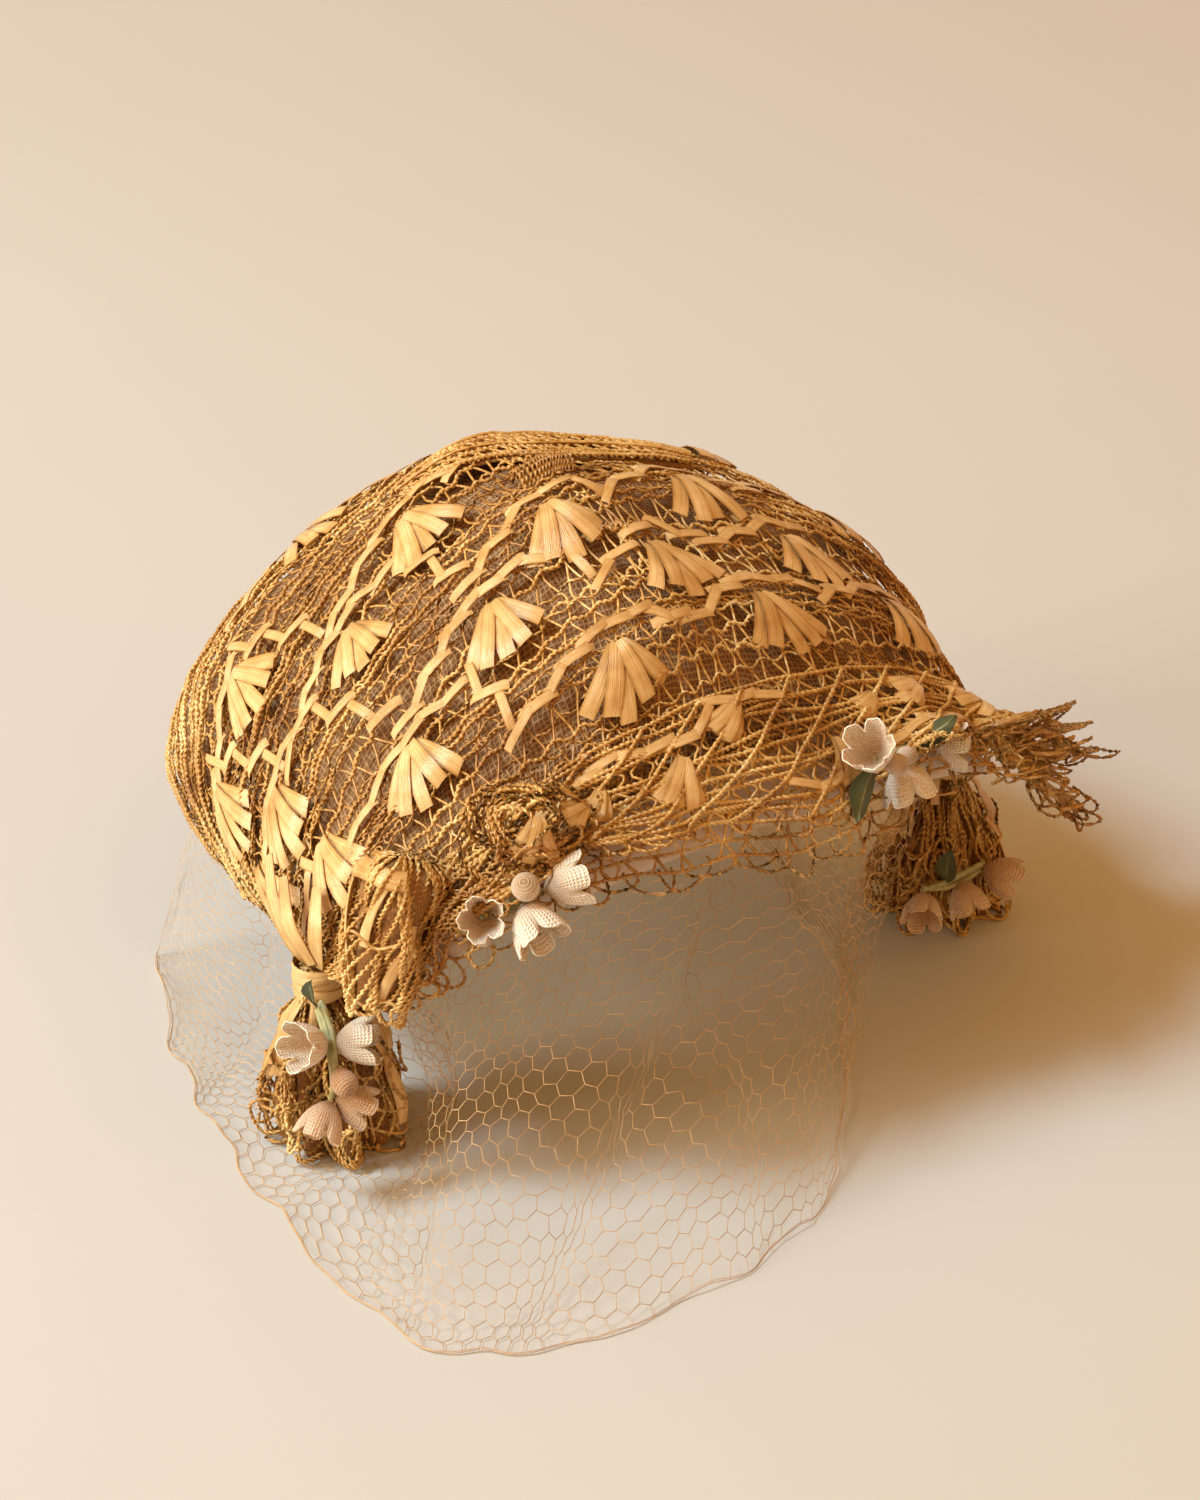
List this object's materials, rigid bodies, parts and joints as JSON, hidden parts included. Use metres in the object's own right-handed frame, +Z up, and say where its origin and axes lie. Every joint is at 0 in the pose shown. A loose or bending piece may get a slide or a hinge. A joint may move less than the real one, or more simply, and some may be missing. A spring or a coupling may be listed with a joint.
{
  "type": "half hat with veil",
  "caption": "Small head-shaped half hat of straw lace over stiff net, with a front frill, a tied tuft below each ear, fabric flowers and a hexagonal-mesh veil.",
  "frame": {"origin": "on the surface that the hat stands on, under the middle of its bounding box", "axes": "+X from one ear end to the other, -Y towards the wearer's face, +Z up"},
  "size_m": [0.2377, 0.2366, 0.1436],
  "materials": {
    "stiff_net": "stiffened fine net, matt",
    "straw_lace": "twisted gold straw cord",
    "flat_straw": "satin flat straw",
    "pale_binding": "matt woven tape",
    "veil_net": "fine hexagonal veiling",
    "fabric_petal": "matt pressed fabric",
    "fabric_leaf": "matt pressed fabric"
  },
  "bodies": {
    "root": {"foundation": "stiff_net", "lace_cover": "straw_lace", "top_fold": "straw_lace", "edge_binding": "pale_binding", "ruffle": "straw_lace", "left_tuft": "straw_lace", "right_tuft": "straw_lace", "left_tie": "flat_straw", "right_tie": "flat_straw", "straw_fan_01": "flat_straw", "straw_fan_02": "flat_straw", "straw_fan_03": "flat_straw", "straw_fan_04": "flat_straw", "straw_fan_05": "flat_straw", "straw_fan_06": "flat_straw", "straw_fan_07": "flat_straw", "straw_fan_08": "flat_straw", "straw_fan_09": "flat_straw", "straw_fan_10": "flat_straw", "straw_fan_11": "flat_straw", "straw_fan_12": "flat_straw", "straw_fan_13": "flat_straw", "straw_fan_14": "flat_straw", "straw_fan_15": "flat_straw", "straw_fan_16": "flat_straw", "straw_fan_17": "flat_straw", "straw_fan_18": "flat_straw", "straw_fan_19": "flat_straw", "flower_bell_01": "fabric_petal", "flower_bell_02": "fabric_petal", "flower_bell_03": "fabric_petal", "flower_bell_04": "fabric_petal", "flower_bell_05": "fabric_petal", "flower_bell_06": "fabric_petal", "flower_bell_07": "fabric_petal", "flower_bell_08": "fabric_petal", "flower_bell_09": "fabric_petal", "flower_bell_10": "fabric_petal", "flower_bell_11": "fabric_petal", "flower_bell_12": "fabric_petal", "flower_bell_13": "fabric_petal", "flower_bud_01": "fabric_petal", "flower_bud_02": "fabric_petal", "flower_bud_03": "fabric_petal", "flower_bud_04": "fabric_petal", "flower_bud_05": "fabric_petal", "flower_stem_front_left": "fabric_leaf", "flower_stem_front_right": "fabric_leaf", "flower_stem_left_tuft": "fabric_leaf", "flower_stem_right_tuft": "fabric_leaf", "leaf_01": "fabric_leaf", "leaf_02": "fabric_leaf", "leaf_03": "fabric_leaf", "leaf_04": "fabric_leaf", "veil": "veil_net"}
  },
  "joints": []
}
